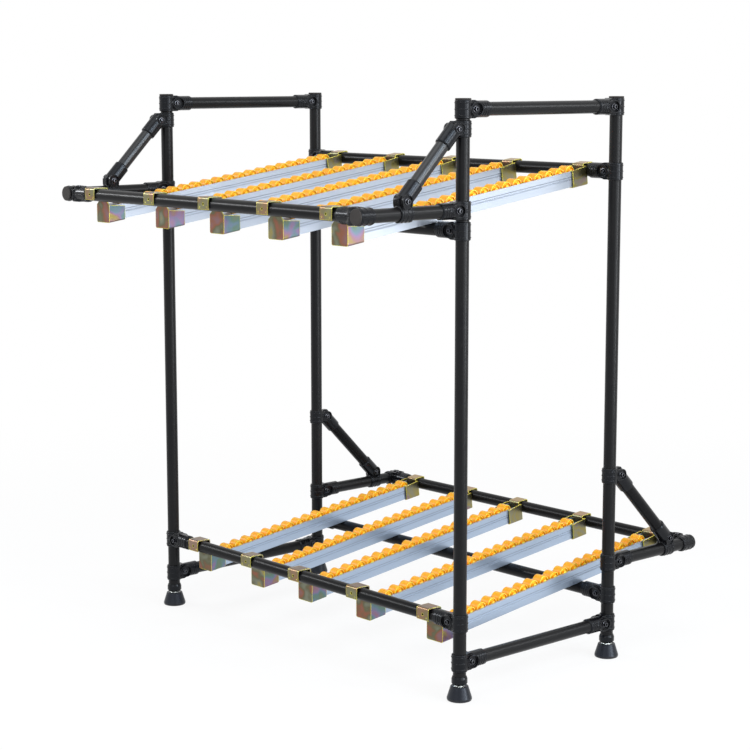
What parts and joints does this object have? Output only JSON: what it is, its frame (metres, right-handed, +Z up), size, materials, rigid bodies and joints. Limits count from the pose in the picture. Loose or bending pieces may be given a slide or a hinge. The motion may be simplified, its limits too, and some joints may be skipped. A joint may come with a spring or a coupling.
{
  "type": "flow rack roller track",
  "caption": "Gravity-flow rack of black coated tube with two sloping decks of aluminium roller track, plastic skate wheels, bolted tube joints and screw-adjusted feet",
  "frame": {"origin": "on the floor in the middle of the rack's outline", "axes": "+Z up, +X to the right along the beams, +Y from the front, where goods are taken out, to the rear"},
  "size_m": [1.059, 1.038, 1.248],
  "materials": {
    "coated_tube": "black resin coating, semi-gloss",
    "joint_black": "black electro-coat, glossy",
    "dark_zinc": "dark zinc plate",
    "cap_plastic": "moulded, matt",
    "foot_socket_black": "black coat, semi-gloss",
    "rail_aluminium": "satin anodised",
    "yellow_zinc": "yellow chromate over zinc",
    "axle_steel": "bright drawn",
    "wheel_orange": "moulded, smooth",
    "foot_plastic": "moulded, satin",
    "stud_zinc": "bright zinc plate"
  },
  "bodies": {
    "rack": {"post_front_left": "coated_tube", "post_front_right": "coated_tube", "post_rear_left": "coated_tube", "post_rear_right": "coated_tube", "top_side_bars": "coated_tube", "bottom_side_bars": "coated_tube", "upper_arms": "coated_tube", "lower_arms": "coated_tube", "upper_braces": "coated_tube", "lower_braces": "coated_tube", "upper_front_beam": "coated_tube", "upper_middle_beam": "coated_tube", "upper_rear_beam": "coated_tube", "lower_front_beam": "coated_tube", "lower_middle_beam": "coated_tube", "lower_rear_beam": "coated_tube", "tee_joint_outer_shells": "joint_black", "tee_joint_inner_shells": "joint_black", "brace_joint_outer_shells": "joint_black", "brace_joint_inner_shells": "joint_black", "joint_bolts": "dark_zinc", "joint_nuts": "dark_zinc", "tube_end_caps": "cap_plastic", "foot_sockets": "foot_socket_black", "upper_rails": "rail_aluminium", "lower_rails": "rail_aluminium", "front_brackets": "yellow_zinc", "rear_brackets": "yellow_zinc", "upper_axles": "axle_steel", "lower_axles": "axle_steel", "upper_wheels": "wheel_orange", "lower_wheels": "wheel_orange"},
    "roller_wheel_01": {"roller_wheel_01": "wheel_orange"},
    "roller_wheel_02": {"roller_wheel_02": "wheel_orange"},
    "roller_wheel_03": {"roller_wheel_03": "wheel_orange"},
    "roller_wheel_04": {"roller_wheel_04": "wheel_orange"},
    "roller_wheel_05": {"roller_wheel_05": "wheel_orange"},
    "roller_wheel_06": {"roller_wheel_06": "wheel_orange"},
    "roller_wheel_07": {"roller_wheel_07": "wheel_orange"},
    "roller_wheel_08": {"roller_wheel_08": "wheel_orange"},
    "roller_wheel_09": {"roller_wheel_09": "wheel_orange"},
    "roller_wheel_10": {"roller_wheel_10": "wheel_orange"},
    "roller_wheel_11": {"roller_wheel_11": "wheel_orange"},
    "roller_wheel_12": {"roller_wheel_12": "wheel_orange"},
    "roller_wheel_13": {"roller_wheel_13": "wheel_orange"},
    "roller_wheel_14": {"roller_wheel_14": "wheel_orange"},
    "roller_wheel_15": {"roller_wheel_15": "wheel_orange"},
    "roller_wheel_16": {"roller_wheel_16": "wheel_orange"},
    "roller_wheel_17": {"roller_wheel_17": "wheel_orange"},
    "roller_wheel_18": {"roller_wheel_18": "wheel_orange"},
    "roller_wheel_19": {"roller_wheel_19": "wheel_orange"},
    "foot_cup_front_left": {"foot_cup_front_left": "foot_plastic"},
    "foot_stud_front_left": {"foot_stud_front_left": "stud_zinc"},
    "foot_cup_front_right": {"foot_cup_front_right": "foot_plastic"},
    "foot_stud_front_right": {"foot_stud_front_right": "stud_zinc"},
    "foot_cup_rear_left": {"foot_cup_rear_left": "foot_plastic"},
    "foot_stud_rear_left": {"foot_stud_rear_left": "stud_zinc"},
    "foot_cup_rear_right": {"foot_cup_rear_right": "foot_plastic"},
    "foot_stud_rear_right": {"foot_stud_rear_right": "stud_zinc"}
  },
  "joints": [
    {"name": "roller_wheel_01_spin", "type": "hinge", "parent": "rack", "child": "roller_wheel_01", "pos_m": [0.4094, -0.41341, 1.00311], "axis": [1, 0, 0], "continuous": true},
    {"name": "roller_wheel_02_spin", "type": "hinge", "parent": "rack", "child": "roller_wheel_02", "pos_m": [0.4094, -0.38066, 1.00758], "axis": [1, 0, 0], "continuous": true},
    {"name": "roller_wheel_03_spin", "type": "hinge", "parent": "rack", "child": "roller_wheel_03", "pos_m": [0.4094, -0.34792, 1.01205], "axis": [1, 0, 0], "continuous": true},
    {"name": "roller_wheel_04_spin", "type": "hinge", "parent": "rack", "child": "roller_wheel_04", "pos_m": [0.4094, -0.31518, 1.01651], "axis": [1, 0, 0], "continuous": true},
    {"name": "roller_wheel_05_spin", "type": "hinge", "parent": "rack", "child": "roller_wheel_05", "pos_m": [0.4094, -0.28244, 1.02098], "axis": [1, 0, 0], "continuous": true},
    {"name": "roller_wheel_06_spin", "type": "hinge", "parent": "rack", "child": "roller_wheel_06", "pos_m": [0.4094, -0.24969, 1.02545], "axis": [1, 0, 0], "continuous": true},
    {"name": "roller_wheel_07_spin", "type": "hinge", "parent": "rack", "child": "roller_wheel_07", "pos_m": [0.4094, -0.21695, 1.02991], "axis": [1, 0, 0], "continuous": true},
    {"name": "roller_wheel_08_spin", "type": "hinge", "parent": "rack", "child": "roller_wheel_08", "pos_m": [0.4094, -0.18421, 1.03438], "axis": [1, 0, 0], "continuous": true},
    {"name": "roller_wheel_09_spin", "type": "hinge", "parent": "rack", "child": "roller_wheel_09", "pos_m": [0.4094, -0.15146, 1.03885], "axis": [1, 0, 0], "continuous": true},
    {"name": "roller_wheel_10_spin", "type": "hinge", "parent": "rack", "child": "roller_wheel_10", "pos_m": [0.4094, -0.11872, 1.04332], "axis": [1, 0, 0], "continuous": true},
    {"name": "roller_wheel_11_spin", "type": "hinge", "parent": "rack", "child": "roller_wheel_11", "pos_m": [0.4094, -0.08598, 1.04779], "axis": [1, 0, 0], "continuous": true},
    {"name": "roller_wheel_12_spin", "type": "hinge", "parent": "rack", "child": "roller_wheel_12", "pos_m": [0.4094, -0.05324, 1.05225], "axis": [1, 0, 0], "continuous": true},
    {"name": "roller_wheel_13_spin", "type": "hinge", "parent": "rack", "child": "roller_wheel_13", "pos_m": [0.4094, -0.02049, 1.05672], "axis": [1, 0, 0], "continuous": true},
    {"name": "roller_wheel_14_spin", "type": "hinge", "parent": "rack", "child": "roller_wheel_14", "pos_m": [0.4094, 0.01225, 1.06119], "axis": [1, 0, 0], "continuous": true},
    {"name": "roller_wheel_15_spin", "type": "hinge", "parent": "rack", "child": "roller_wheel_15", "pos_m": [0.4094, 0.04499, 1.06566], "axis": [1, 0, 0], "continuous": true},
    {"name": "roller_wheel_16_spin", "type": "hinge", "parent": "rack", "child": "roller_wheel_16", "pos_m": [0.4094, 0.07773, 1.07012], "axis": [1, 0, 0], "continuous": true},
    {"name": "roller_wheel_17_spin", "type": "hinge", "parent": "rack", "child": "roller_wheel_17", "pos_m": [0.4094, 0.11048, 1.07459], "axis": [1, 0, 0], "continuous": true},
    {"name": "roller_wheel_18_spin", "type": "hinge", "parent": "rack", "child": "roller_wheel_18", "pos_m": [0.4094, 0.14322, 1.07906], "axis": [1, 0, 0], "continuous": true},
    {"name": "roller_wheel_19_spin", "type": "hinge", "parent": "rack", "child": "roller_wheel_19", "pos_m": [0.4094, 0.17596, 1.08353], "axis": [1, 0, 0], "continuous": true},
    {"name": "foot_cup_front_left_lift", "type": "slide", "parent": "rack", "child": "foot_cup_front_left", "axis": [0, 0, -1], "range_m": [0, 0.025]},
    {"name": "foot_stud_front_left_screw", "type": "hinge", "parent": "foot_cup_front_left", "child": "foot_stud_front_left", "pos_m": [-0.503, -0.231, 0.03], "axis": [0, 0, 1], "range_deg": [0, 5145]},
    {"name": "foot_cup_front_right_lift", "type": "slide", "parent": "rack", "child": "foot_cup_front_right", "axis": [0, 0, -1], "range_m": [0, 0.025]},
    {"name": "foot_stud_front_right_screw", "type": "hinge", "parent": "foot_cup_front_right", "child": "foot_stud_front_right", "pos_m": [0.503, -0.231, 0.03], "axis": [0, 0, 1], "range_deg": [0, 5145]},
    {"name": "foot_cup_rear_left_lift", "type": "slide", "parent": "rack", "child": "foot_cup_rear_left", "axis": [0, 0, -1], "range_m": [0, 0.025]},
    {"name": "foot_stud_rear_left_screw", "type": "hinge", "parent": "foot_cup_rear_left", "child": "foot_stud_rear_left", "pos_m": [-0.503, 0.231, 0.03], "axis": [0, 0, 1], "range_deg": [0, 5145]},
    {"name": "foot_cup_rear_right_lift", "type": "slide", "parent": "rack", "child": "foot_cup_rear_right", "axis": [0, 0, -1], "range_m": [0, 0.025]},
    {"name": "foot_stud_rear_right_screw", "type": "hinge", "parent": "foot_cup_rear_right", "child": "foot_stud_rear_right", "pos_m": [0.503, 0.231, 0.03], "axis": [0, 0, 1], "range_deg": [0, 5145]}
  ],
  "couplings": [
    {"joint": "foot_stud_front_left_screw", "follows": "foot_cup_front_left_lift", "rad_per_m": 3590.4},
    {"joint": "foot_stud_front_right_screw", "follows": "foot_cup_front_right_lift", "rad_per_m": 3590.4},
    {"joint": "foot_stud_rear_left_screw", "follows": "foot_cup_rear_left_lift", "rad_per_m": 3590.4},
    {"joint": "foot_stud_rear_right_screw", "follows": "foot_cup_rear_right_lift", "rad_per_m": 3590.4}
  ]
}
